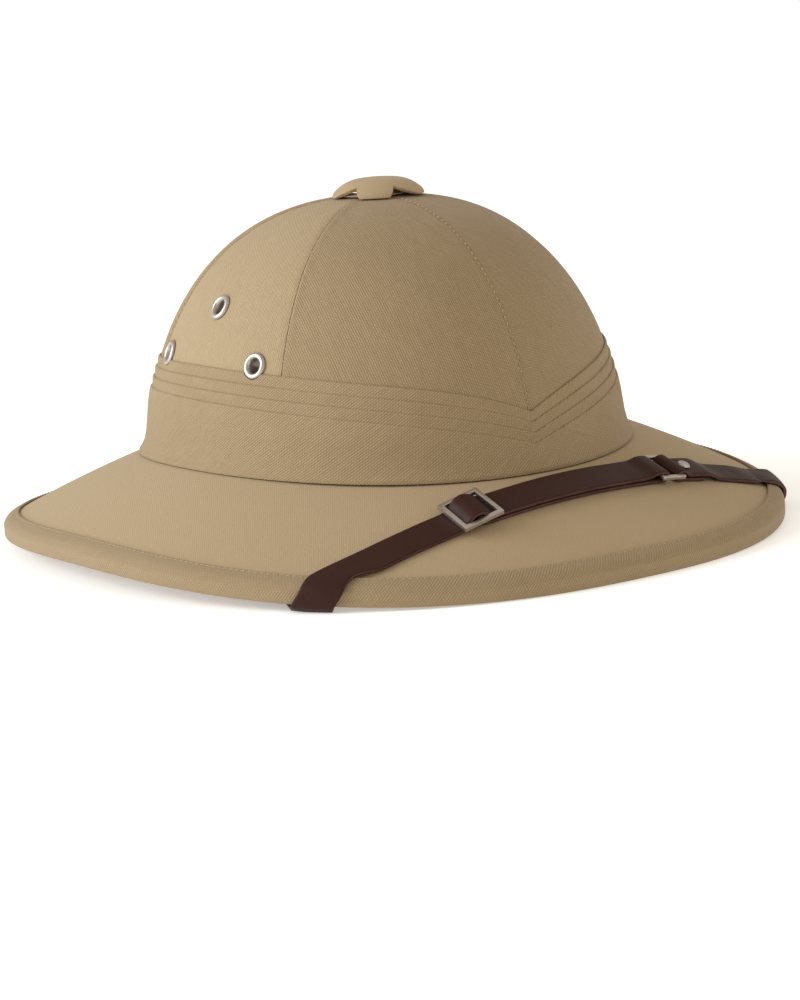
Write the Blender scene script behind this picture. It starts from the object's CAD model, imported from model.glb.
import math
import bpy
import numpy as np
from mathutils import Matrix, Vector


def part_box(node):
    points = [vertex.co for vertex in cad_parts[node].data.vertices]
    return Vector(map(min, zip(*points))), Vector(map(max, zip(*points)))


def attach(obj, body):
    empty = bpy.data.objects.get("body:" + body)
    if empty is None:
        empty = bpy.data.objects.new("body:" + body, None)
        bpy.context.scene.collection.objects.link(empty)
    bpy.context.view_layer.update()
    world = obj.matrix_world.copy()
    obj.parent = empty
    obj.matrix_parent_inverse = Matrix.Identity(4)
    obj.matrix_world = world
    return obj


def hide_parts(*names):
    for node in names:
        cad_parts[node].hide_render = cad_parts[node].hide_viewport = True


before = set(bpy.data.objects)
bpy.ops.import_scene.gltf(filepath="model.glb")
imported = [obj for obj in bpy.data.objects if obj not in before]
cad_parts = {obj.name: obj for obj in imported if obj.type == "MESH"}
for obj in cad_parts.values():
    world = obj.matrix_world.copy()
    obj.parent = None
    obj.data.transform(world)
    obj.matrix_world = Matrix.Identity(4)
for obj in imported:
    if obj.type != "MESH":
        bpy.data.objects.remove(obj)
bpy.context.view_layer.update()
bpy.ops.object.select_all(action="DESELECT")
mm = 0.001

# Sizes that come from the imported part, in millimetres


def boxOf(node):
    low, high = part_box(node)
    return np.array(low) / mm, np.array(high) / mm


edgeLow, edgeHigh = boxOf("brim_binding")
ventLow, ventHigh = boxOf("vent_cap")

helmet = {
    "edgeHalfWidth": (edgeHigh[0] - edgeLow[0]) / 2,
    "edgeHalfLength": (edgeHigh[1] - edgeLow[1]) / 2,
    "edgeRoundness": 2.33,
    "edgeHeight": 6.6,
    "sideRise": 7.6,
    "cornerDip": 1.6,
    "brimBulge": 1.1,
    "brimWall": 4.4,
    "crownHalfWidth": 90.5,
    "crownHalfLength": 103.5,
    "crownRoundness": 2.15,
    "crownTop": ventLow[2] + 0.2,
    "crownSidePower": 2.45,
    "crownTopPower": 1.94,
    "crownShift": -0.7,
    "crownLean": -3.5,
    "crownWall": 3.5,
    "footHeight": 34.5,
    "footFrontRise": 0.6,
    "footSideRise": 4.7,
    "footFlare": 4.6,
    "skin": 1.1,  # how far the binding stands above the brim's own cloth
}


# Shape of the helmet. A turn is in degrees from the front towards the wearer's right.
def sinDeg(turn):
    return np.sin(np.radians(turn))


def cosDeg(turn):
    return np.cos(np.radians(turn))


def smooth(share):
    share = np.clip(share, 0, 1)
    return share * share * (3 - 2 * share)


def roundness(turn, power):
    return (np.abs(cosDeg(turn)) ** power + np.abs(sinDeg(turn)) ** power) ** (-1 / power)


def edgePoint(turn):
    reach = roundness(turn, helmet["edgeRoundness"])
    lift = helmet["sideRise"] * sinDeg(turn) ** 2 - helmet["cornerDip"] * sinDeg(2 * turn) ** 2 - 0.1
    x = -helmet["edgeHalfWidth"] * sinDeg(turn) * reach
    y = -helmet["edgeHalfLength"] * cosDeg(turn) * reach
    return np.stack([x, y, np.maximum(lift, 0)], -1)


def footPoint(turn):
    x = -(helmet["crownHalfWidth"] + helmet["footFlare"]) * sinDeg(turn)
    y = -(helmet["crownHalfLength"] + helmet["footFlare"]) * cosDeg(turn) + helmet["crownShift"]
    z = helmet["footHeight"] + helmet["footFrontRise"] * cosDeg(turn)
    return np.stack([x, y, z + helmet["footSideRise"] * sinDeg(turn) ** 2], -1)


def crownPoint(turn, rise, inset=0.0):
    rise = np.clip(rise, 0, 0.99999)
    width = (1 - rise ** helmet["crownTopPower"]) ** (1 / helmet["crownSidePower"])
    width = width * roundness(turn, helmet["crownRoundness"])
    x = -(helmet["crownHalfWidth"] - inset) * sinDeg(turn) * width
    y = -(helmet["crownHalfLength"] - inset) * cosDeg(turn) * width
    y = y + helmet["crownShift"] + helmet["crownLean"] * rise
    foot = footPoint(turn)[..., 2]
    return np.stack([x, y, foot + (helmet["crownTop"] - inset - foot) * rise], -1)


def crownNormal(turn, rise):
    along = crownPoint(turn + 0.5, rise) - crownPoint(turn - 0.5, rise)
    upward = crownPoint(turn, rise + 0.004) - crownPoint(turn, np.maximum(rise - 0.004, 0))
    normal = np.cross(along, upward)
    normal = normal / np.linalg.norm(normal, axis=-1, keepdims=True)
    middle = np.array([0, helmet["crownShift"], 60.0])
    facing = np.sum(normal * (crownPoint(turn, rise) - middle), -1, keepdims=True)
    return normal * np.sign(facing)


def brimSection(turn):
    foot, edge = footPoint(turn), edgePoint(turn)
    across = (edge - foot)[..., :2]
    run = np.linalg.norm(across, axis=-1)
    outward = np.concatenate([across / run[..., None], np.zeros_like(run)[..., None]], -1)
    slope = (foot[..., 2] - edge[..., 2] - helmet["edgeHeight"]) / run
    return {"foot": foot, "edge": edge, "run": run, "outward": outward, "slope": slope}


def topHeight(section, out):
    share = 1 + out / section["run"]
    return helmet["edgeHeight"] - section["slope"] * out + helmet["brimBulge"] * 4 * share * (1 - share)


def sectionPoint(section, out, height):
    point = section["edge"] + section["outward"] * np.asarray(out)[..., None]
    point[..., 2] += height
    return point


# A point above the brim's cloth at a place in plan, along the brim's slope
def brimPoint(x, y, lift):
    x, y = np.broadcast_arrays(np.asarray(x, float), np.asarray(y, float))
    middle = np.degrees(np.arctan2(-x / helmet["edgeHalfWidth"], -y / helmet["edgeHalfLength"]))
    low, high = middle - 25, middle + 25

    def side(turn):
        section = brimSection(turn)
        foot, outward = section["foot"], section["outward"]
        return outward[..., 0] * (y - foot[..., 1]) - outward[..., 1] * (x - foot[..., 0])

    lowSide = np.sign(side(low))
    for _ in range(34):
        half = (low + high) / 2
        same = np.sign(side(half)) == lowSide
        low, high = np.where(same, half, low), np.where(same, high, half)
    section = brimSection((low + high) / 2)
    out = np.hypot(x - section["foot"][..., 0], y - section["foot"][..., 1]) - section["run"]
    point = sectionPoint(section, out, topHeight(section, out) - helmet["skin"])
    normal = section["outward"] * section["slope"][..., None] + np.array([0, 0, 1.0])
    normal = normal / np.linalg.norm(normal, axis=-1, keepdims=True)
    return point + normal * np.asarray(lift, float)[..., None]


# Distance travelled along a row of points, up to each of them
def travelled(points):
    return np.concatenate([[0], np.cumsum(np.linalg.norm(np.diff(points, axis=0), axis=1))])


# The smooth curve from start to end, with the points on either side of them
def smoothBetween(before, start, end, after, part):
    tangent, nextTangent = (end - before) / 2, (after - start) / 2
    square, cube = part ** 2, part ** 3
    line = (2 * cube - 3 * square + 1) * start + (cube - 2 * square + part) * tangent
    return line + (3 * square - 2 * cube) * end + (cube - square) * nextTangent


# A smooth line through points, one row for each share from 0 to 1
def lineThrough(points, shares):
    points = np.asarray(points, float)
    places = np.clip(shares, 0, 1) * (len(points) - 1)
    first = np.minimum(places.astype(int), len(points) - 2)
    part = (places - first)[:, None]
    rows = [points[np.clip(first + step, 0, len(points) - 1)] for step in (-1, 0, 1, 2)]
    before, start, end, after = [row.reshape(len(first), -1) for row in rows]
    return smoothBetween(before, start, end, after, part).reshape((len(first),) + points.shape[1:])


# Shared steps in making a piece
def selectOnly(piece):
    bpy.ops.object.select_all(action="DESELECT")
    piece.select_set(True)
    bpy.context.view_layer.objects.active = piece


def finishModifier(piece, kind, **settings):
    modifier = piece.modifiers.new(kind.title(), kind)
    for setting, value in settings.items():
        setattr(modifier, setting, value)
    selectOnly(piece)
    bpy.ops.object.modifier_apply(modifier=modifier.name)


def editAll(piece, *steps):
    selectOnly(piece)
    bpy.ops.object.mode_set(mode="EDIT")
    bpy.ops.mesh.select_all(action="SELECT")
    for step in steps:
        step()
    bpy.ops.object.mode_set(mode="OBJECT")


def mergeDoubles():
    bpy.ops.mesh.remove_doubles(threshold=0.000002)


def faceOutward():
    bpy.ops.mesh.normals_make_consistent(inside=False)


# A grid laid over a surface. layout turns shares across and along into points and pattern places, in mm.
def layGrid(name, across, along, layout, closed=False, shell=False):
    bpy.ops.object.select_all(action="DESELECT")
    bpy.ops.mesh.primitive_grid_add(x_subdivisions=across, y_subdivisions=along, size=2)
    piece = bpy.context.object
    piece.name = name
    mesh = piece.data
    mesh.name = name
    flat = np.empty(len(mesh.vertices) * 3)
    mesh.vertices.foreach_get("co", flat)
    points, pattern = layout((flat[0::3] + 1) / 2, (flat[1::3] + 1) / 2)
    mesh.vertices.foreach_set("co", (points * mm).astype(np.float32).ravel())
    corners = np.empty(len(mesh.loops), int)
    mesh.loops.foreach_get("vertex_index", corners)
    mesh.uv_layers[0].data.foreach_set("uv", (pattern[corners] * mm).astype(np.float32).ravel())
    mesh.update()
    if closed or shell:
        editAll(piece, mergeDoubles)
    if shell:
        editAll(piece, faceOutward)
    else:
        lookOutward(piece)
    return piece


# Turns an open sheet's faces away from the middle of the helmet
def lookOutward(piece, middle=(0, 0, 0.01)):
    outwardness = sum(face.normal.dot(face.center - Vector(middle)) for face in piece.data.polygons)
    if outwardness < 0:
        editAll(piece, bpy.ops.mesh.flip_normals)


def softEdges(piece, angle=40):
    selectOnly(piece)
    bpy.ops.object.shade_smooth_by_angle(angle=math.radians(angle))


def placePiece(piece, material, slot, *nodes):
    piece.data.materials.clear()
    piece.data.materials.append(material)
    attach(piece, "root")
    if nodes:
        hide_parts(*nodes)
    return piece


# Shader groups
def setSockets(node, values):
    for label, value in values.items():
        node.inputs[label].default_value = value


def newGroup(name, inputs, outputs):
    group = bpy.data.node_groups.new(name, "ShaderNodeTree")
    for label, kind, value in inputs:
        socket = group.interface.new_socket(name=label, in_out="INPUT", socket_type=kind)
        if value is not None:
            socket.default_value = value
    for label, kind in outputs:
        group.interface.new_socket(name=label, in_out="OUTPUT", socket_type=kind)
    return group, group.nodes.new("NodeGroupInput"), group.nodes.new("NodeGroupOutput")


def mathNode(tree, operation, first, second=None, third=None):
    node = tree.nodes.new("ShaderNodeMath")
    node.operation = operation
    for socket, value in zip(node.inputs, (first, second, third)):
        if isinstance(value, bpy.types.NodeSocket):
            tree.links.new(value, socket)
        elif value is not None:
            socket.default_value = value
    return node.outputs[0]


def noiseNode(tree, vector, scale, detail=2.0, roughness=0.5):
    node = tree.nodes.new("ShaderNodeTexNoise")
    tree.links.new(vector, node.inputs["Vector"])
    if isinstance(scale, bpy.types.NodeSocket):
        tree.links.new(scale, node.inputs["Scale"])
    else:
        node.inputs["Scale"].default_value = scale
    setSockets(node, {"Detail": detail, "Roughness": roughness})
    return node.outputs["Fac"]


# A wave between 0 and 1 that repeats with each whole number
def waveNode(tree, value):
    cosine = mathNode(tree, "COSINE", mathNode(tree, "MULTIPLY", value, 6.2832))
    return mathNode(tree, "MULTIPLY_ADD", cosine, 0.5, 0.5)


def makeTwillGroup():
    number, vector = "NodeSocketFloat", "NodeSocketVector"
    group, given, result = newGroup(
        "twillWeave",
        [("Place", vector, None), ("Pitch", number, 0.001), ("Angle", number, 0.3),
         ("Wobble", number, 0.35), ("Streaks", number, 0.4)],
        [("Shade", number), ("Height", number)],
    )
    split = group.nodes.new("ShaderNodeSeparateXYZ")
    group.links.new(given.outputs["Place"], split.inputs[0])
    cosine = mathNode(group, "COSINE", given.outputs["Angle"])
    sine = mathNode(group, "SINE", given.outputs["Angle"])
    x, y = split.outputs["X"], split.outputs["Y"]
    products = [mathNode(group, "MULTIPLY", first, second)
                for first, second in ((x, cosine), (y, sine), (y, cosine), (x, sine))]
    acrossWale = mathNode(group, "ADD", products[0], products[1])
    alongWale = mathNode(group, "SUBTRACT", products[2], products[3])
    a = mathNode(group, "DIVIDE", acrossWale, given.outputs["Pitch"])
    b = mathNode(group, "DIVIDE", alongWale, given.outputs["Pitch"])
    drift = mathNode(group, "SUBTRACT", noiseNode(group, given.outputs["Place"], 260.0), 0.5)
    a = mathNode(group, "MULTIPLY_ADD", drift, mathNode(group, "MULTIPLY", given.outputs["Wobble"], 2.0), a)
    wale = waveNode(group, a)
    crossing = mathNode(group, "MULTIPLY_ADD", b, 0.62, mathNode(group, "MULTIPLY", a, 0.5))
    yarn = waveNode(group, crossing)
    height = mathNode(group, "MULTIPLY", wale, mathNode(group, "MULTIPLY_ADD", yarn, 0.6, 0.4))
    merge = group.nodes.new("ShaderNodeCombineXYZ")
    group.links.new(mathNode(group, "MULTIPLY", a, 0.8), merge.inputs[0])
    group.links.new(mathNode(group, "MULTIPLY", b, 0.09), merge.inputs[1])
    streak = mathNode(group, "SUBTRACT", noiseNode(group, merge.outputs[0], 1.0, 3.0, 0.6), 0.5)
    streaks = mathNode(group, "MULTIPLY", given.outputs["Streaks"], 2.0)
    shade = mathNode(group, "MULTIPLY_ADD", streak, streaks, height)
    group.links.new(shade, result.inputs["Shade"])
    group.links.new(height, result.inputs["Height"])
    return group


def makeMottleGroup():
    number, vector = "NodeSocketFloat", "NodeSocketVector"
    group, given, result = newGroup(
        "mottle",
        [("Place", vector, None), ("Scale", number, 20.0), ("Contrast", number, 1.0)],
        [("Mask", number)],
    )
    noise = noiseNode(group, given.outputs["Place"], given.outputs["Scale"], 4.0, 0.6)
    cloud = mathNode(group, "SUBTRACT", noise, 0.5)
    mask = mathNode(group, "MULTIPLY_ADD", cloud, given.outputs["Contrast"], 0.5)
    clamp = group.nodes.new("ShaderNodeClamp")
    group.links.new(mask, clamp.inputs["Value"])
    group.links.new(clamp.outputs[0], result.inputs["Mask"])
    return group


twillGroup = makeTwillGroup()
mottleGroup = makeMottleGroup()


def newMaterial(name):
    material = bpy.data.materials.new(name)
    material.use_nodes = True
    tree = material.node_tree
    return material, tree, tree.nodes["Principled BSDF"]


def placeGroup(tree, group, place, **values):
    node = tree.nodes.new("ShaderNodeGroup")
    node.node_tree = group
    tree.links.new(place, node.inputs["Place"])
    setSockets(node, values)
    return node


def mixColours(tree, mask, first, second):
    node = tree.nodes.new("ShaderNodeMix")
    node.data_type = "RGBA"
    for socket, value in zip((node.inputs["Factor"], node.inputs[6], node.inputs[7]), (mask, first, second)):
        if isinstance(value, bpy.types.NodeSocket):
            tree.links.new(value, socket)
        else:
            socket.default_value = value if isinstance(value, float) else (*value, 1)
    return node.outputs[2]


def addBump(tree, shader, height, distance, strength=1.0, under=None):
    bump = tree.nodes.new("ShaderNodeBump")
    setSockets(bump, {"Distance": distance, "Strength": strength})
    tree.links.new(height, bump.inputs["Height"])
    if under is not None:
        tree.links.new(under, bump.inputs["Normal"])
    tree.links.new(bump.outputs[0], shader.inputs["Normal"])
    return bump.outputs[0]


clothColours = {
    "raised": (0.45, 0.332, 0.196),
    "sunk": (0.255, 0.176, 0.092),
    "faded": (0.435, 0.34, 0.215),
}


def makeCloth(name, pitch, angle, wobble=0.3, streaks=0.35, depth=0.0002, dark=1.0, contrast=0.6):
    material, tree, shader = newMaterial(name)
    places = tree.nodes.new("ShaderNodeTexCoord")
    weave = placeGroup(tree, twillGroup, places.outputs["UV"], Pitch=pitch, Angle=math.radians(angle),
                       Wobble=wobble, Streaks=streaks)
    cloud = placeGroup(tree, mottleGroup, places.outputs["Object"], Scale=26.0, Contrast=1.6)
    fuzz = placeGroup(tree, mottleGroup, places.outputs["Object"], Scale=900.0, Contrast=2.2)
    raised = tuple(value * dark for value in clothColours["raised"])
    sunk = tuple(high + (low * dark - high) * contrast for high, low in zip(raised, clothColours["sunk"]))
    woven = mixColours(tree, weave.outputs["Shade"], sunk, raised)
    fading = mathNode(tree, "MULTIPLY", cloud.outputs["Mask"], 0.22)
    clouded = mixColours(tree, fading, woven, clothColours["faded"])
    dusted = mixColours(tree, mathNode(tree, "MULTIPLY", fuzz.outputs["Mask"], 0.16), clouded, sunk)
    tree.links.new(dusted, shader.inputs["Base Color"])
    finish = {"Roughness": 0.86, "Sheen Weight": 0.12, "Sheen Roughness": 0.5, "Specular IOR Level": 0.25}
    setSockets(shader, finish)
    soft = addBump(tree, shader, fuzz.outputs["Mask"], 0.00012, 0.6)
    addBump(tree, shader, weave.outputs["Height"], depth, 0.8, soft)
    return material


def makeLeather(name, colour, worn, roughness=0.4):
    material, tree, shader = newMaterial(name)
    places = tree.nodes.new("ShaderNodeTexCoord")
    grain = placeGroup(tree, mottleGroup, places.outputs["Object"], Scale=1100.0, Contrast=2.0)
    cloud = placeGroup(tree, mottleGroup, places.outputs["Object"], Scale=90.0, Contrast=2.0)
    tree.links.new(mixColours(tree, cloud.outputs["Mask"], colour, worn), shader.inputs["Base Color"])
    rubbed = mathNode(tree, "MULTIPLY_ADD", cloud.outputs["Mask"], 0.14, roughness - 0.07)
    tree.links.new(rubbed, shader.inputs["Roughness"])
    shader.inputs["Specular IOR Level"].default_value = 0.17
    addBump(tree, shader, grain.outputs["Mask"], 0.00008, 0.5)
    return material


def makeMetal(name, colour, roughness):
    material, tree, shader = newMaterial(name)
    places = tree.nodes.new("ShaderNodeTexCoord")
    scuff = placeGroup(tree, mottleGroup, places.outputs["Object"], Scale=420.0, Contrast=1.8)
    dull = tuple(value * 0.8 for value in colour)
    tree.links.new(mixColours(tree, scuff.outputs["Mask"], colour, dull), shader.inputs["Base Color"])
    scuffed = mathNode(tree, "MULTIPLY_ADD", scuff.outputs["Mask"], 0.16, roughness - 0.08)
    tree.links.new(scuffed, shader.inputs["Roughness"])
    shader.inputs["Metallic"].default_value = 1.0
    addBump(tree, shader, scuff.outputs["Mask"], 0.00002, 0.4)
    return material


frontCloth = makeCloth("crown cloth front", 0.00095, 20, wobble=0.2, contrast=1.0)
sideCloth = makeCloth("crown cloth side", 0.0009, 4, wobble=0.55, streaks=0.8, contrast=0.35)
brimCloth = makeCloth("brim cloth", 0.0008, -35, wobble=0.5, depth=0.00006, contrast=0.22)
bandCloth = makeCloth("band cloth", 0.0009, -55, wobble=0.22, depth=0.00018, contrast=0.9)
bindingCloth = makeCloth("binding cloth", 0.001, -35, wobble=0.15, streaks=0.25, depth=0.00018, dark=0.94,
                         contrast=0.85)
ventCloth = makeCloth("vent cloth", 0.0008, 55, depth=0.00005, contrast=0.2)
threadCloth = makeCloth("sewing thread", 0.0003, 40, streaks=0.1, depth=0.00005, dark=1.3, contrast=0.3)
leather = makeLeather("strap leather", (0.031, 0.0082, 0.0058), (0.042, 0.0125, 0.0088), 0.5)
cutLeather = makeLeather("strap cut edge", (0.13, 0.062, 0.052), (0.05, 0.02, 0.016), 0.62)
nickel = makeMetal("nickel", (0.58, 0.53, 0.49), 0.4)
postMetal = makeMetal("post metal", (0.5, 0.48, 0.45), 0.42)
print("materials made")


# Brim
brim = {"ringSteps": 480, "acrossSteps": 26}


def layBrim(across, along):
    turn = across * 360 - 180
    section = brimSection(turn)
    rim = crownPoint(turn, np.zeros_like(turn), helmet["crownWall"])
    rim[:, 2] = section["foot"][:, 2] - helmet["skin"]
    out = -section["run"] * (1 - smooth(along * 1.04) * 0.5 - along * 0.5) - along * helmet["skin"]
    out = np.minimum(out, -helmet["skin"])
    surface = sectionPoint(section, out, topHeight(section, out) - helmet["skin"])
    points = np.where((along < 0.001)[:, None], rim, surface)
    return points, points[:, :2]


brimShell = layGrid("brimShell", brim["ringSteps"], brim["acrossSteps"], layBrim, closed=True)
finishModifier(brimShell, "SOLIDIFY", thickness=helmet["brimWall"] * mm, offset=-1, use_even_offset=True)
softEdges(brimShell)
placePiece(brimShell, brimCloth, "brim_cloth", "brim")

# Binding folded over the brim's edge
binding = {
    "ringSteps": 720, "thickness": 0.8, "width": 6.5, "pillow": 0.35, "underReach": 9.0, "clothWidth": 24.0,
    "stitchPitch": 2.7, "stitchLength": 1.9, "stitchWidth": 0.42, "stitchInset": 0.95,
}


def layBinding(across, along):
    turn = across * 360 - 180
    section = brimSection(turn)
    reach = binding["underReach"]
    under = topHeight(section, -reach) - 0.8 - helmet["brimWall"] - 0.9
    nodes = [
        (-binding["width"], topHeight(section, -binding["width"])),
        (-4.2, topHeight(section, -4.2) + binding["pillow"]),
        (-1.9, topHeight(section, -1.9) + binding["pillow"] * 0.7),
        (-0.55, helmet["edgeHeight"] - 0.25),
        (0.0, helmet["edgeHeight"] - 1.5),
        (0.0, helmet["edgeHeight"] * 0.45),
        (0.0, 1.3),
        (-0.35, 0.35),
        (-1.3, 0.0),
        (-4.6, 0.0),
        (-reach, under - 0.8),
    ]
    outs = np.stack([np.full_like(turn, out) for out, _ in nodes])
    heights = np.stack([np.broadcast_to(height, turn.shape) for _, height in nodes])
    stations = np.stack([outs, heights], -1)
    places = along * (len(nodes) - 1)
    first = np.minimum(places.astype(int), len(nodes) - 2)
    part = (places - first)[:, None]
    column = np.arange(len(turn))
    rows = [stations[np.clip(first + step, 0, len(nodes) - 1), column] for step in (-1, 0, 1, 2)]
    before, start, end, after = rows
    line = smoothBetween(before, start, end, after, part)
    line[:, 1] = np.maximum(line[:, 1], 0)
    points = sectionPoint(section, line[:, 0], line[:, 1])
    return points, np.stack([-ringLength(turn, edgePoint), -along * binding["clothWidth"]], -1)


# Distance travelled round a ring up to each turn
def ringLength(turn, pointAt):
    fine = np.linspace(-180, 180, 721)
    return np.interp(turn, fine, travelled(pointAt(fine)))


def turnAtLength(distance, pointAt):
    fine = np.linspace(-180, 180, 721)
    return np.interp(distance, ringLength(fine, pointAt), fine)


edgeBinding = layGrid("edgeBinding", binding["ringSteps"], 40, layBinding, closed=True)
finishModifier(edgeBinding, "SOLIDIFY", thickness=binding["thickness"] * mm, offset=-1, use_even_offset=True)
finishModifier(edgeBinding, "BEVEL", width=0.3 * mm, segments=2, limit_method="ANGLE",
               angle_limit=math.radians(60))
softEdges(edgeBinding, 50)


# One stitch: a short thread laid in the cloth, its ends sinking in
def addStitch(centre, along, normal, length, width):
    return {"centre": centre, "along": along, "normal": normal, "length": length, "width": width}


def makeStitches(name, stitches, height=0.5):
    bpy.ops.object.select_all(action="DESELECT")
    bpy.ops.mesh.primitive_cylinder_add(vertices=6, radius=1, depth=2, end_fill_type="NOTHING")
    model = bpy.context.object
    editAll(model, lambda: bpy.ops.mesh.subdivide(number_cuts=4, quadcorner="INNERVERT"))
    source = np.array([vertex.co for vertex in model.data.vertices])
    faces = [list(face.vertices) for face in model.data.polygons]
    bpy.data.objects.remove(model)
    points, polygons = [], []
    share = source[:, 2]
    thin = np.sqrt(np.clip(1.02 - share ** 2, 0, 1)) ** 0.7
    for index, stitch in enumerate(stitches):
        along = stitch["along"] / np.linalg.norm(stitch["along"])
        normal = stitch["normal"] / np.linalg.norm(stitch["normal"])
        side = np.cross(normal, along)
        half = stitch["width"] / 2
        arch = (1 - share ** 2) * height * stitch["width"] - stitch["width"] * 0.35
        local = (
            stitch["centre"]
            + along * (share * stitch["length"] / 2)[:, None]
            + side * (source[:, 0] * thin * half)[:, None]
            + normal * (source[:, 1] * thin * half + arch)[:, None]
        )
        points.append(local)
        polygons.extend([[corner + index * len(source) for corner in face] for face in faces])
    mesh = bpy.data.meshes.new(name)
    mesh.from_pydata((np.concatenate(points) * mm).tolist(), [], polygons)
    mesh.uv_layers.new(name="UVMap")
    piece = bpy.data.objects.new(name, mesh)
    bpy.context.scene.collection.objects.link(piece)
    editAll(piece, faceOutward, bpy.ops.mesh.faces_shade_smooth)
    return piece


def stitchesRound(pointAt, normalAt, pitch, length, width):
    total = ringLength(np.array([180.0]), pointAt)[0]
    count = int(total / pitch)
    stitches = []
    for index in range(count):
        turn = turnAtLength(np.array([total * (index + 0.5) / count]), pointAt)
        along = pointAt(turn + 0.3)[0] - pointAt(turn - 0.3)[0]
        stitches.append(addStitch(pointAt(turn)[0], along, normalAt(turn)[0], length, width))
    return stitches


def bindingStitchPoint(turn):
    section = brimSection(turn)
    out = -binding["width"] + binding["stitchInset"]
    return sectionPoint(section, np.full_like(turn, out), topHeight(section, out) + 0.16)


def brimNormal(turn):
    section = brimSection(turn)
    return section["outward"] * section["slope"][:, None] + np.array([0, 0, 1.0])


bindingStitches = makeStitches("bindingStitches", stitchesRound(
    bindingStitchPoint, brimNormal, binding["stitchPitch"], binding["stitchLength"], binding["stitchWidth"]))
placePiece(edgeBinding, bindingCloth, "binding_cloth", "brim_binding")
placePiece(bindingStitches, threadCloth, "binding_cloth")
print("brim and binding made")

# Crown: six gores with turned-in seam edges
crown = {
    "seams": (0, 63, 117, 180), "levels": 54, "steps": 40, "hole": 4.2,
    "seamDip": 0.6, "seamWidth": 0.7, "frontEdgeLift": 0.4,
    "seamGap": 0.08, "stitchPitch": 2.8, "stitchLength": 1.7, "stitchWidth": 0.46,
    # turn of the seam, how far beside it, and how far up the crown the row begins
    "stitchRows": ((0, 0.75, 18), (180, 0.75, 38), (63, -1.1, 38), (-63, 1.1, 38),
                   (117, 1.1, 38), (-117, -1.1, 38)),
}
topAngle = math.acos((crown["hole"] / helmet["crownHalfWidth"]) ** (helmet["crownSidePower"] / 2))


def riseAt(share):
    return np.sin(np.minimum(share, 1) * topAngle) ** (2 / helmet["crownTopPower"])


def riseLength(turn):
    shares = np.linspace(0, 1, 200)
    return shares, travelled(crownPoint(np.full(200, float(turn)), riseAt(shares)))


def layGore(start, end, lifts):
    shares, lengths = riseLength((start + end) / 2)

    def layout(across, along):
        turn = start + (end - start) * across
        rise = riseAt(along)
        base = crownPoint(turn, rise)
        radius = np.hypot(base[:, 0], base[:, 1] - helmet["crownShift"])
        fromStart = np.radians(np.abs(turn - start)) * radius
        fromEnd = np.radians(np.abs(end - turn)) * radius
        inset = np.zeros_like(turn)
        for distance, lift in ((fromStart, lifts[0]), (fromEnd, lifts[1])):
            dip = crown["seamDip"] if lift else crown["seamDip"] * 0.5
            inset += dip * np.exp(-((distance / crown["seamWidth"]) ** 2))
            inset -= lift * np.exp(-((distance - 1.3) / 1.7) ** 2)
        fade = smooth((1 - along) * 9)
        points = base - crownNormal(turn, rise) * (inset * fade)[:, None]
        beside = -np.radians(turn - (start + end) / 2) * radius
        return points, np.stack([beside, np.interp(along, shares, lengths)], -1)
    return layout


def spread(steps):
    return smooth(steps) * 0.35 + steps * 0.65


eyelet = {
    "outer": 5.4, "barrel": 3.9, "sides": 40, "proud": 0.15,
    "profile": ((2.75, -5.3), (2.7, -1.2), (2.85, -0.1), (3.2, 0.75), (3.75, 1.15), (4.4, 1.2), (5.0, 0.9),
                (5.36, 0.35), (5.3, 0.02), (3.7, 0.02), (3.6, -0.6), (3.6, -5.3)),
    "places": {"top": (91, 0.616), "front": (71, 0.412), "rear": (110.9, 0.417)},
}


def eyeletAxis(side, turn, rise):
    place = crownPoint(np.array([side * turn]), np.array([rise]))[0]
    return place, crownNormal(np.array([side * turn]), np.array([rise]))[0]


def turnTo(normal):
    return Vector(normal).to_track_quat("Z", "Y").to_matrix().to_4x4()


def cutRound(piece, place, normal, radius, depth):
    bpy.ops.object.select_all(action="DESELECT")
    bpy.ops.mesh.primitive_cylinder_add(vertices=32, radius=radius * mm, depth=depth * mm)
    drill = bpy.context.object
    drill.data.transform(Matrix.Translation(Vector(place) * mm) @ turnTo(normal))
    finishModifier(piece, "BOOLEAN", operation="DIFFERENCE", solver="EXACT", object=drill)
    bpy.data.objects.remove(drill)


def makeGore(index, start, end, lifts, material):
    gore = layGrid(f"crownGore{index}", crown["steps"], crown["levels"],
                   lambda across, along: layGore(start, end, lifts)(spread(across), along))
    finishModifier(gore, "SOLIDIFY", thickness=helmet["crownWall"] * mm, offset=-1, use_even_offset=True)
    if index in (2, 5):
        side = 1 if start > 0 else -1
        for turn, rise in eyelet["places"].values():
            place, normal = eyeletAxis(side, turn, rise)
            cutRound(gore, place, normal, eyelet["barrel"] + 0.25, 24)
    softEdges(gore, 35)
    return placePiece(gore, material, "crown_cloth", f"crown_panel_{index}")


lift = crown["frontEdgeLift"]
for side, first in ((1, 1), (-1, 4)):
    front, sideFront, sideRear, rear = (side * turn for turn in crown["seams"])
    tuck = side * crown["seamGap"]
    makeGore(first, front + tuck * 0.3, sideFront - tuck, (0.0, lift), frontCloth)
    makeGore(first + 1, sideFront + tuck, sideRear - tuck, (0.0, 0.0), sideCloth)
    makeGore(first + 2, sideRear + tuck, rear - tuck * 0.3, (lift, 0.0), frontCloth)


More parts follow.
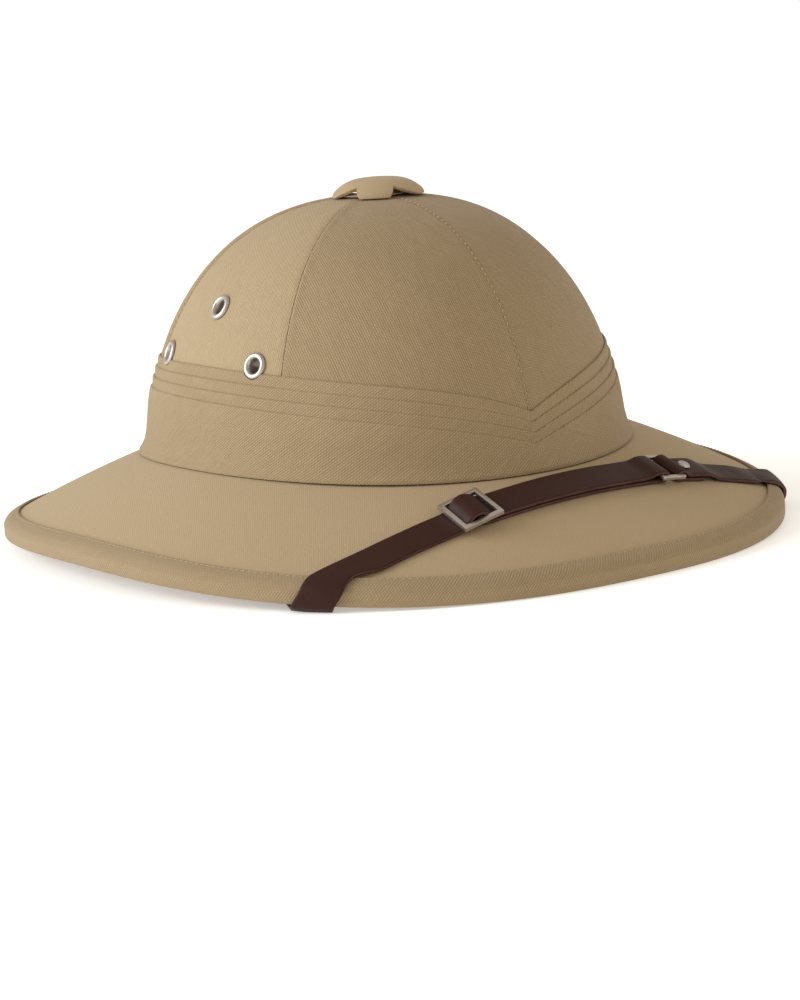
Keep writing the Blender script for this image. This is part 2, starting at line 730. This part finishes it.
# Seam stitches run up beside each seam, from the band to the vent cap
def seamStitches(turn, shift, fromHeight):
    shares, lengths = riseLength(turn)
    start = np.interp(fromHeight, lengths, shares)
    begin, finish = np.interp(start, shares, lengths), lengths[-1] - 13
    stitches = []
    for distance in np.arange(begin, finish, crown["stitchPitch"]):
        share = np.interp(distance, lengths, shares)
        rise = riseAt(np.array([share]))
        base = crownPoint(np.array([float(turn)]), rise)[0]
        radius = math.hypot(base[0], base[1] - helmet["crownShift"])
        at = np.array([turn + math.degrees(shift / max(radius, 6))])
        normal = crownNormal(at, rise)[0]
        nextRise = riseAt(np.array([share + 0.01]))
        along = crownPoint(at, nextRise)[0] - crownPoint(at, rise)[0]
        stitches.append(addStitch(crownPoint(at, rise)[0] + normal * 0.12, along, normal,
                                  crown["stitchLength"], crown["stitchWidth"]))
    return stitches


allSeams = []
for turn, shift, height in crown["stitchRows"]:
    allSeams += seamStitches(turn, shift, height)
placePiece(makeStitches("crownStitches", allSeams), threadCloth, "crown_cloth")
print("crown made")


# Spins a profile of (radius, height) round a line that leaves the place along the normal
def spinFitting(name, profile, sides, place, normal):
    bpy.ops.object.select_all(action="DESELECT")
    bpy.ops.mesh.primitive_circle_add(vertices=len(profile), radius=1)
    piece = bpy.context.object
    piece.name = name
    for vertex, (radius, height) in zip(piece.data.vertices, profile):
        vertex.co = (radius * mm, 0, height * mm)
    turned = {"angle": 2 * math.pi, "center": (0, 0, 0), "axis": (0, 0, 1)}
    editAll(piece, lambda: bpy.ops.mesh.spin(steps=sides, **turned))
    editAll(piece, mergeDoubles, lambda: bpy.ops.mesh.delete_loose(), faceOutward)
    piece.data.transform(Matrix.Translation(Vector(place) * mm) @ turnTo(normal))
    softEdges(piece, 50)
    return piece


# Eyelets: a rolled lip spun round a barrel
for side, sideName in ((1, "right"), (-1, "left")):
    for label, (turn, rise) in eyelet["places"].items():
        place, normal = eyeletAxis(side, turn, rise)
        name = f"eyelet{sideName.title()}{label.title()}"
        piece = spinFitting(name, eyelet["profile"], eyelet["sides"], place + normal * eyelet["proud"], normal)
        placePiece(piece, nickel, "nickel", f"eyelet_{sideName}_{label}")
print("eyelets made")

# Hat band: a plain band under three stacked folds that dip to a point at the front
band = {
    "ringSteps": 720, "foldTop": 39, "foldPitch": 4.1, "dip": 17, "dipSpread": 23.5, "spreadStep": 2.7,
    "foldOut": (1.0, 1.2, 1.4), "bandOut": 1.6, "flare": 2.9, "flareHeight": 8, "tuck": 1.5, "hollow": 0.75,
}


def foldLine(turn, line):
    spreadOut = band["dipSpread"] + band["spreadStep"] * line
    return band["foldTop"] - band["foldPitch"] * line - band["dip"] * np.exp(-np.abs(turn) / spreadOut)


def bandPoint(turn, height, out):
    rise = height / (helmet["crownTop"] - footPoint(turn)[:, 2])
    point = crownPoint(turn, np.maximum(rise, 0))
    away = point * np.array([1, 1, 0]) - np.array([0, helmet["crownShift"], 0])
    away[:, 2] = 0
    away = away / np.linalg.norm(away, axis=1, keepdims=True)
    point[:, 2] += np.minimum(height, 0)
    return point + away * out[:, None]


def wrinkle(turn, height, size):
    waves = 0.5 * np.sin(np.radians(turn * 7 + 40) + height * 0.11)
    waves = waves + 0.3 * np.sin(np.radians(turn * 17) - height * 0.23)
    return size * (waves + 0.2 * np.sin(np.radians(turn * 31 + 80) + height * 0.35))


def closedSection(turn, along, corners):
    count = len(corners)
    outs = np.stack([np.broadcast_to(out, turn.shape) for out, _ in corners])
    heights = np.stack([np.broadcast_to(height, turn.shape) for _, height in corners])
    places = along * count
    first = np.minimum(places.astype(int), count - 1)
    part = places - first
    column = np.arange(len(turn))
    nextOne = (first + 1) % count
    out = outs[first, column] * (1 - part) + outs[nextOne, column] * part
    height = heights[first, column] * (1 - part) + heights[nextOne, column] * part
    return out, height


def layFold(line):
    outer = band["foldOut"][line]

    def layout(across, along):
        turn = across * 360 - 180
        high, low = foldLine(turn, line), foldLine(turn, line + 1) - band["tuck"]
        middle = (high + low) / 2
        corners = [
            (outer - band["hollow"], low), (outer - band["hollow"] * 0.55, middle),
            (outer - 0.05, high - 1.0), (outer, high - 0.62), (outer - 0.12, high - 0.28),
            (outer - 0.42, high - 0.06), (outer - 0.75, high - 0.05),
            (0.25, high - 0.35), (0.25, middle), (0.25, low),
        ]
        out, height = closedSection(turn, along, corners)
        out = out + np.where(out > 0.5, wrinkle(turn, height, 0.14), 0)
        return bandPoint(turn, height, out), np.stack([-ringLength(turn, footPoint), height], -1)
    return layout


def layBand(across, along):
    turn = across * 360 - 180
    high = foldLine(turn, 3)
    outer, flare, reach = band["bandOut"], band["flare"], band["flareHeight"]
    corners = [
        (helmet["footFlare"] + 0.15, -1.02), (helmet["footFlare"], 0.2),
        (outer + flare * 0.62, reach * 0.22), (outer + flare * 0.3, reach * 0.5),
        (outer + flare * 0.06, reach * 0.95),
    ]
    corners += [(outer, reach + (high - 1 - reach) * share) for share in (0.25, 0.5, 0.75, 1)]
    corners += [
        (outer - 0.02, high - 0.62), (outer - 0.14, high - 0.28), (outer - 0.45, high - 0.06),
        (outer - 0.8, high - 0.05), (0.25, high - 0.35), (0.25, high * 0.5), (0.3, 0.4),
        (helmet["footFlare"] - 0.9, -1.02),
    ]
    out, height = closedSection(turn, along, corners)
    body = smooth(height / 6)
    out = out + np.where(out > 0.6, wrinkle(turn, height, 0.22) * body, 0)
    crease = np.exp(-((height - 17 - (turn + 4) * 0.62) / 0.8) ** 2)
    crease = crease * smooth(-turn / 5) * smooth((turn + 26) / 10)
    gather = np.exp(-((turn + 12 + height * 0.25) / 2.2) ** 2) * smooth(1 - height / 16)
    out = out + np.where(out > 0.6, 0.4 * crease + 0.35 * gather * body, 0)
    return bandPoint(turn, height, out), np.stack([-ringLength(turn, footPoint), height], -1)


def makeBandPiece(name, rows, layout, node):
    piece = layGrid(name, band["ringSteps"], rows, layout, shell=True)
    if node == "puggaree_fold_1":
        for side in (1, -1):
            for turn, rise in eyelet["places"].values():
                place, normal = eyeletAxis(side, turn, rise)
                cutRound(piece, place, normal, eyelet["outer"] + 0.1, 12)
    softEdges(piece, 60)
    return placePiece(piece, bandCloth, "band_cloth", node)


for line in range(3):
    makeBandPiece(f"bandFold{line + 1}", 30, layFold(line), f"puggaree_fold_{line + 1}")
makeBandPiece("bandBody", 60, layBand, "puggaree_band")
print("band made")

# Vent cap: a small cloth dome on four lobes
vent = {
    "radius": (ventHigh[0] - ventLow[0]) / 2, "height": ventHigh[2] - ventLow[2] - 1.7, "wall": 1.5,
    "frontLobe": 39, "opening": ((19.5, 0), (29, 4.4), (35, 3.8), (66, 0)), "shift": (1.6, -1.7, 0),
    "collarReach": 14.5, "collarTop": 3.4, "collarFoot": 1.0,
    "profile": ((0.0, 1.0), (0.14, 0.997), (0.28, 0.985), (0.4, 0.957), (0.5, 0.92), (0.6, 0.85), (0.7, 0.745),
                (0.8, 0.6), (0.9, 0.41), (0.96, 0.25), (0.99, 0.12), (1.0, 0.0)),
}
ventMiddle = np.array([(ventLow[0] + ventHigh[0]) / 2, (ventLow[1] + ventHigh[1]) / 2, ventLow[2]])
ventMiddle = ventMiddle + vent["shift"]


def layVent(across, along):
    turn = across * 360
    fromLobe = np.abs((turn - vent["frontLobe"] + 90) % 180 - 90)
    hem = np.interp(fromLobe, *zip(*vent["opening"]))
    fine = lineThrough(np.array(vent["profile"]), np.linspace(0, 1, 200))
    lengths = travelled(fine * [vent["radius"], vent["height"]])
    hemLength = np.interp(-hem / vent["height"], -fine[:, 1], lengths)
    reach = along * hemLength
    radius = np.interp(reach, lengths, fine[:, 0]) * vent["radius"]
    height = np.interp(reach, lengths, fine[:, 1]) * vent["height"]
    points = np.stack([-sinDeg(turn) * radius, -cosDeg(turn) * radius, height], -1) + ventMiddle
    return points, points[:, :2]


ventDome = layGrid("ventDome", 360, 40, layVent, closed=True)
finishModifier(ventDome, "SOLIDIFY", thickness=vent["wall"] * mm, offset=-1, use_even_offset=False)
finishModifier(ventDome, "BEVEL", width=0.35 * mm, segments=2, limit_method="ANGLE",
               angle_limit=math.radians(60))
softEdges(ventDome, 50)
placePiece(ventDome, ventCloth, "crown_cloth", "vent_cap")


# The low collar of cloth that the cap is held over, seen through its openings
def layCollar(across, along):
    turn = across * 360
    postLow, postHigh = boxOf("vent_post")
    inner = (postHigh[0] - postLow[0]) / 2 + 0.3
    radius = inner + (vent["collarReach"] - inner) * along
    fall = (vent["collarTop"] - vent["collarFoot"]) * (radius / vent["collarReach"]) ** 2
    centre = np.array([(postLow[0] + postHigh[0]) / 2, (postLow[1] + postHigh[1]) / 2, ventLow[2]])
    points = np.stack([-sinDeg(turn) * radius, -cosDeg(turn) * radius, vent["collarTop"] - fall], -1) + centre
    return points, points[:, :2]


ventCollar = layGrid("ventCollar", 120, 16, layCollar, closed=True)
finishModifier(ventCollar, "SOLIDIFY", thickness=0.5 * mm, offset=-1, use_even_offset=False)
softEdges(ventCollar, 50)
placePiece(ventCollar, ventCloth, "crown_cloth")
print("vent cap made")

# Chin strap, in two lengths that meet at the ring
strap = {
    "width": 13.6, "thickness": 1.6, "onBrim": 1.1, "onLayer": 3.0, "roundBar": 4.7,
    "line": ((-106, -121.2), (-90, -121.2), (-60, -122.4), (-20, -122.6),
             (20, -120.6), (50, -117), (80, -112.4), (112, -106)),
    "hump": [(-53, 1.7), (-50.8, 3.6), (-49, 5.6), (-46.3, 6.8), (-43.0, 5.9), (-39.8, 3.8), (-36, 3.1)],
    "foldRadius": 1.8, "pinX": 103, "pinY": -12, "rowSteps": 5,
    "long": {"side": -1, "front": 43.5, "back": 49.2, "slant": 0.25, "hiddenStart": (111, -88)},
    "short": {"side": 1, "front": -50.5, "back": -58, "slant": -0.4, "hiddenStart": (118, -70)},
}
strapLine = lineThrough(strap["line"], np.linspace(0, 1, 201))
strapAlong = np.gradient(strapLine, axis=0)
strapAlong = strapAlong / np.linalg.norm(strapAlong, axis=1, keepdims=True)


def overStrap(x, across, lift):
    y = np.interp(x, strapLine[:, 0], strapLine[:, 1])
    alongX, alongY = (np.interp(x, strapLine[:, 0], strapAlong[:, axis]) for axis in (0, 1))
    return brimPoint(x - alongY * across * 0.93, y + alongX * across * 0.93, lift)


# The strap's cross-section: share across from -1 to 1, and share through from 0 (inner) to 1 (outer)
def strapSection(bulge=0.0):
    flatStops = (-0.86, -0.5, 0, 0.5, 0.86)
    outer = [(stop, 1 + bulge * (1 - stop * stop)) for stop in flatStops]
    corner = [(0.955, 0.97), (0.99, 0.82), (1.0, 0.6), (1.0, 0.4), (0.99, 0.18), (0.955, 0.03)]
    inner = [(-stop, 0.0) for stop in flatStops]
    return outer + corner + inner + [(-share, 1 - depth) for share, depth in corner]


sectionShape = strapSection()
sectionAcross = np.array([share for share, _ in sectionShape])
sectionDepth = np.array([depth for _, depth in sectionShape])


def ribbonRows(rows):
    rows = np.array(rows, float)
    before, after = np.vstack([rows[:1], rows[:-1]]), np.vstack([rows[1:], rows[-1:]])

    def unit(step):
        size = np.linalg.norm(step, axis=1, keepdims=True)
        return step / np.where(size > 0, size, 1)

    along = unit(unit(rows - before) + unit(after - rows))
    stations = []
    for row, direction in zip(rows, along):
        offset = (sectionDepth * 2 - 1) * strap["thickness"] / 2
        across = sectionAcross * strap["width"] / 2
        stations.append(overStrap(row[0] - direction[1] * offset, across, row[1] + direction[0] * offset))
    return stations


def edgeWrap(section):
    return [
        (-6.5, topHeight(section, -6.5), (0.45, 0.9), -6.5),
        (-1.8, topHeight(section, -1.8), (0.45, 0.9), -1.8),
        (0.0, helmet["edgeHeight"] - 1.2, (0.97, 0.24), 0.6),
        (0.0, 1.0, (0.97, -0.24), 5.0),
        (-1.4, 0.0, (0.24, -0.97), 6.8),
        (-4.6, 0.0, (-0.3, -0.96), 10.0),
    ]


def wrapRows(fold):
    stations = []
    for step in range(6):
        startTurn = fold["front"] + (fold["back"] - fold["front"]) * (sectionAcross + 1) / 2
        reach = edgeWrap(brimSection(startTurn))[step][3]
        section = brimSection(startTurn + reach * fold["slant"])
        out, height, away, _ = edgeWrap(section)[step]
        held = 0.48 + sectionDepth * strap["thickness"]
        point = sectionPoint(section, np.full_like(startTurn, out), height)
        point = point + section["outward"] * (away[0] * held)[:, None]
        point[:, 2] += away[1] * held
        stations.append(point)
    return stations


def hiddenRows(fold):
    stations = []
    for share in np.linspace(0, 1, 5):
        x = fold["hiddenStart"][0] + (strap["pinX"] + 1 - fold["hiddenStart"][0]) * share
        y = fold["hiddenStart"][1] + (strap["pinY"] + 6 - fold["hiddenStart"][1]) * share
        across = sectionAcross * strap["width"] / 2
        depth = -(5.8 + sectionDepth * strap["thickness"])
        stations.append(brimPoint(fold["side"] * (x + across), y + across * 0.15, depth))
    return stations


def ringFold(toward):
    low, high = boxOf("strap_ring")
    centre = (low[0] + high[0]) / 2 - toward * 4.5
    radius = strap["foldRadius"]
    angles = [math.radians(angle) for angle in (90, 45, 0, -45, -90)]
    return [(centre + toward * radius * math.cos(angle), 2.9 + radius * math.sin(angle)) for angle in angles]


def levelRows(places, lift):
    return [(x, lift) for x in places]


def longRows():
    rows = [(-90, 1.4)] + levelRows((-80, -66, -56.5), strap["onBrim"])
    rows += strap["hump"]
    rows += levelRows((-30, -15, 0, 15, 30), strap["onLayer"])
    rows += [(37, 3.3), (41.5, strap["roundBar"])] + ringFold(1)
    return rows + levelRows((38, 30, 15, 0, -15, -30, -40), strap["onBrim"]) + [(-44, 1.5), (-48.5, 1.9)]


def shortRows():
    rows = [(100, 1.4)] + levelRows((90, 80), strap["onBrim"]) + levelRows((72, 64, 60), strap["onLayer"])
    rows += [(56.5, strap["roundBar"])] + ringFold(-1)
    return rows + levelRows((60, 69), strap["onBrim"])


def makeStrap(name, fold, rows):
    stations = np.array(hiddenRows(fold)[::-1] + wrapRows(fold)[::-1] + ribbonRows(rows))
    spans = (len(stations) - 1) * strap["rowSteps"]
    lanes = lineThrough(stations, np.linspace(0, 1, spans + 1))
    distance = travelled(lanes[:, 2])
    count = len(sectionShape)

    def layout(across, along):
        lane = np.rint(across * count).astype(int)
        row = np.rint(along * spans).astype(int)
        points = lanes[row, lane % count]
        return points, np.stack([lane * 1.8, distance[row]], -1)

    piece = layGrid(name, count, spans, layout, closed=True)
    closeEnds(piece)
    markCutEdge(piece)
    softEdges(piece, 60)
    return piece


# Closes the two open ends of a strap with faces
def closeEnds(piece):
    def fill():
        bpy.ops.mesh.select_all(action="DESELECT")
        bpy.ops.mesh.select_mode(type="EDGE")
        bpy.ops.mesh.select_non_manifold()
        bpy.ops.mesh.edge_face_add()
        bpy.ops.mesh.select_mode(type="VERT")
        bpy.ops.mesh.select_all(action="SELECT")
    editAll(piece, fill, faceOutward)


# The strap's narrow sides show the cut leather
def markCutEdge(piece):
    piece.data.materials.clear()
    piece.data.materials.append(leather)
    piece.data.materials.append(cutLeather)
    uvs = piece.data.uv_layers[0].data
    for face in piece.data.polygons:
        lanes = [round(uvs[corner].uv[0] / mm / 1.8) % len(sectionShape) for corner in face.loop_indices]
        shares = [sectionDepth[lane] for lane in lanes]
        if len(lanes) == 4 and 0.15 < min(shares) and max(shares) < 0.85:
            face.material_index = 1


for length, rows in (("long", longRows()), ("short", shortRows())):
    piece = makeStrap(f"{length}Strap", strap[length], rows)
    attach(piece, "root")
    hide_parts(f"strap_{length}")
print("straps made")


# Fittings on the strap
fittings = {
    "buckleBevel": 0.35, "buckleFuller": 0.24, "ringBevel": 0.3, "ringFuller": 0.1,
    "rivetX": 62.5, "rivetLifts": (4.05, 6.0), "rivetSides": 32,
    "rivetProfile": ((0.0, -2.5), (1.15, -2.5), (1.15, 0.0), (2.6, 0.0), (2.62, 0.18), (2.45, 0.55),
                     (1.95, 0.98), (1.1, 1.24), (0.0, 1.32)),
}


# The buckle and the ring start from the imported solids, with their edges eased
def easeNode(node, name, width, fuller):
    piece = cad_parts[node].copy()
    piece.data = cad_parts[node].data.copy()
    for key in list(piece.keys()):
        del piece[key]
    piece.parent = None
    piece.matrix_world = Matrix.Identity(4)
    piece.name = name
    bpy.context.scene.collection.objects.link(piece)
    flatten = math.radians(1)
    editAll(piece, mergeDoubles, lambda: bpy.ops.mesh.dissolve_limited(angle_limit=flatten), faceOutward)
    finishModifier(piece, "DISPLACE", strength=fuller * mm, mid_level=0)
    corner = math.radians(40)
    finishModifier(piece, "BEVEL", width=width * mm, segments=3, limit_method="ANGLE", angle_limit=corner)
    finishModifier(piece, "TRIANGULATE")
    softEdges(piece, 50)
    return placePiece(piece, nickel, "nickel", node)


easeNode("slide_buckle", "buckle", fittings["buckleBevel"], fittings["buckleFuller"])
easeNode("strap_ring", "ring", fittings["ringBevel"], fittings["ringFuller"])


rivetPlace, rivetAbove = (overStrap(np.array([fittings["rivetX"]]), np.array([0.0]), np.array([lift]))[0]
                          for lift in fittings["rivetLifts"])
rivet = spinFitting("rivet", fittings["rivetProfile"], fittings["rivetSides"], rivetPlace,
                    rivetAbove - rivetPlace)
placePiece(rivet, nickel, "nickel", "strap_rivet")
for node in ("vent_post", "strap_anchor_right", "strap_anchor_left"):
    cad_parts[node].data.materials.clear()
    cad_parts[node].data.materials.append(postMetal)
print("fittings made")

# Floor, light and camera
studio = {
    "floorSize": 60.0, "floorGlow": 0.34, "worldLight": 0.62, "worldColour": (1, 0.93, 0.81, 1),
    "keyStrength": 1.29, "keySoftness": 35, "keyColour": (0.92, 0.96, 1.0),
    "sidePower": 7.5, "sideSize": 0.9, "sideColour": (0.84, 0.93, 1.0),
    "fillPower": 2.2, "fillSize": 1.2, "fillColour": (1, 0.95, 0.86),
    "azimuth": -34.305, "elevation": 8.59, "roll": -3.597, "focal": 3081.05, "distance": 1.26937,
    "aim": (7.496, -1.28, 51.946),
}
bpy.ops.object.select_all(action="DESELECT")
bpy.ops.mesh.primitive_plane_add(size=studio["floorSize"], location=(0, 0, 0))
floor = bpy.context.object
floor.name = "floor"
floorMaterial, _, floorShader = newMaterial("pale floor")
setSockets(floorShader, {"Base Color": (0.95, 0.95, 0.95, 1), "Roughness": 0.9})
setSockets(floorShader, {"Emission Color": (1, 1, 1, 1), "Emission Strength": studio["floorGlow"]})
floor.data.materials.append(floorMaterial)

azimuth, elevation, roll = (math.radians(studio[name]) for name in ("azimuth", "elevation", "roll"))
level = math.cos(elevation)
backward = Vector((math.sin(azimuth) * level, -math.cos(azimuth) * level, math.sin(elevation)))
right = Vector((math.cos(azimuth), math.sin(azimuth), 0))
upward = backward.cross(right)
aim = right * studio["aim"][0] * mm + Vector((0, studio["aim"][1], studio["aim"][2])) * mm
cameraRight = right * math.cos(roll) + upward * math.sin(roll)
cameraUp = upward * math.cos(roll) - right * math.sin(roll)
place = aim + backward * studio["distance"]
columns = [cameraRight, cameraUp, backward]
lens = bpy.data.cameras.new("camera")
lens.sensor_width = 36
lens.lens = studio["focal"] * 36 / 1000
lens.shift_y = -0.1
lens.clip_start = 0.02
camera = bpy.data.objects.new("camera", lens)
rows = [[column[row] for column in columns] + [place[row]] for row in range(3)]
camera.matrix_world = Matrix(rows + [[0, 0, 0, 1]])
bpy.context.scene.collection.objects.link(camera)
bpy.context.scene.camera = camera


def addArea(name, place, size, power, colour):
    light = bpy.data.lights.new(name, "AREA")
    light.shape = "DISK"
    light.size = size
    light.energy = power
    light.color = colour
    lamp = bpy.data.objects.new(name, light)
    lamp.location = place
    lamp.rotation_euler = (aim - Vector(place)).to_track_quat("-Z", "Y").to_euler()
    bpy.context.scene.collection.objects.link(lamp)


key = bpy.data.lights.new("key", "SUN")
key.energy = studio["keyStrength"]
key.angle = math.radians(studio["keySoftness"])
key.color = studio["keyColour"]
keyLamp = bpy.data.objects.new("key", key)
shining = right - backward * 0.12 - Vector((0, 0, 0.55))
keyLamp.rotation_euler = shining.to_track_quat("-Z", "Y").to_euler()
bpy.context.scene.collection.objects.link(keyLamp)
sidePlace = aim - right * 1.3 + backward * 0.25 + Vector((0, 0, 0.3))
fillPlace = aim + right * 1.3 + backward * 0.6 + Vector((0, 0, 0.8))
addArea("sideLight", sidePlace, studio["sideSize"], studio["sidePower"], studio["sideColour"])
addArea("fillLight", fillPlace, studio["fillSize"], studio["fillPower"], studio["fillColour"])

world = bpy.data.worlds.new("studio")
world.use_nodes = True
bpy.context.scene.world = world
worldTree = world.node_tree
surround = worldTree.nodes["Background"]
setSockets(surround, {"Color": studio["worldColour"], "Strength": studio["worldLight"]})
backdrop = worldTree.nodes.new("ShaderNodeBackground")
backdrop.inputs["Color"].default_value = (1, 1, 1, 1)
rays = worldTree.nodes.new("ShaderNodeLightPath")
either = worldTree.nodes.new("ShaderNodeMixShader")
worldTree.links.new(rays.outputs["Is Camera Ray"], either.inputs[0])
worldTree.links.new(surround.outputs[0], either.inputs[1])
worldTree.links.new(backdrop.outputs[0], either.inputs[2])
worldTree.links.new(either.outputs[0], worldTree.nodes["World Output"].inputs["Surface"])
bpy.context.scene.view_settings.view_transform = "Standard"

print("studio made")
